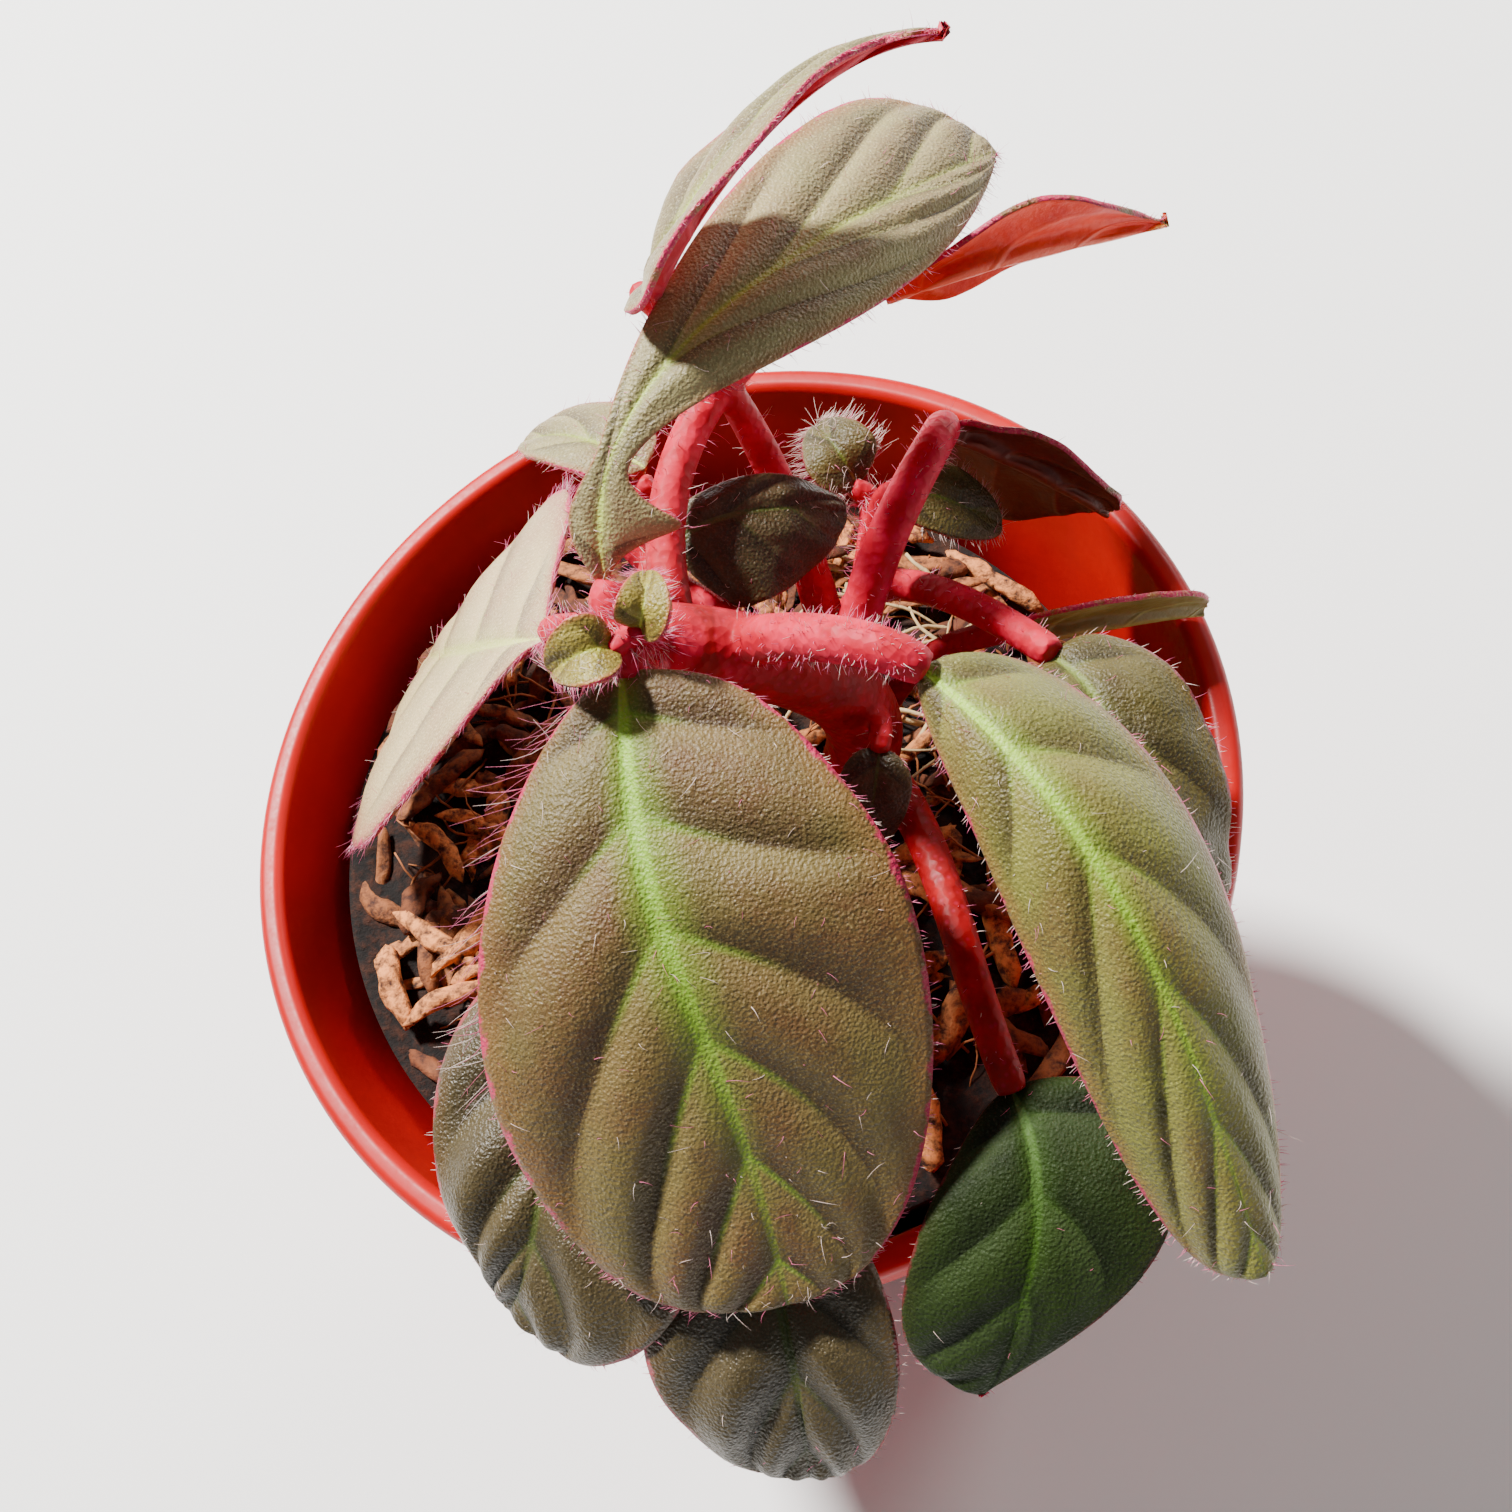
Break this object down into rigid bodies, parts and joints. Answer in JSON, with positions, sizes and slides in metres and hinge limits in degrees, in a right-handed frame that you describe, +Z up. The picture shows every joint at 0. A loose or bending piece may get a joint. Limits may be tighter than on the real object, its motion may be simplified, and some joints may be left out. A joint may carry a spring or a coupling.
{
  "type": "potted plant",
  "caption": "Small hairy codonoboea in a thin red plastic nursery pot: bronze-green blades on red stalks that rise from one bent stem and droop over the rim.",
  "frame": {"origin": "middle of the pot's flat base, on the surface it stands on", "axes": "+Z up along the pot's axis, -Y towards the viewer, +X to the viewer's right"},
  "size_m": [0.076, 0.0862, 0.1083],
  "materials": {
    "red_plastic": "satin moulded polypropylene",
    "potting_mix": "loose coir and bark chips, matt",
    "red_stem": "fleshy red stem with fine hairs",
    "bronze_blade": "bronze-green leaf with fine hairs",
    "dark_blade": "dark green leaf in shade",
    "red_underside": "red underside of a leaf",
    "young_blade": "pale young leaf with fine hairs"
  },
  "bodies": {
    "root": {"pot": "red_plastic", "potting_mix": "potting_mix", "stem": "red_stem", "leaf_front": "bronze_blade", "leaf_right": "bronze_blade", "leaf_right_back": "dark_blade", "leaf_left": "bronze_blade", "leaf_top": "bronze_blade", "leaf_top_far": "bronze_blade", "leaf_top_red": "red_underside", "leaf_middle": "dark_blade", "leaf_back": "red_underside", "leaf_low_right": "dark_blade", "leaf_low_left": "dark_blade", "leaf_low_front": "dark_blade", "leaf_edge_on": "young_blade", "leaf_back_left": "bronze_blade", "leaf_small": "dark_blade", "crown_leaf_left": "young_blade", "crown_leaf_right": "young_blade", "shoot_leaf_left": "young_blade", "shoot_leaf_right": "young_blade"}
  },
  "joints": []
}
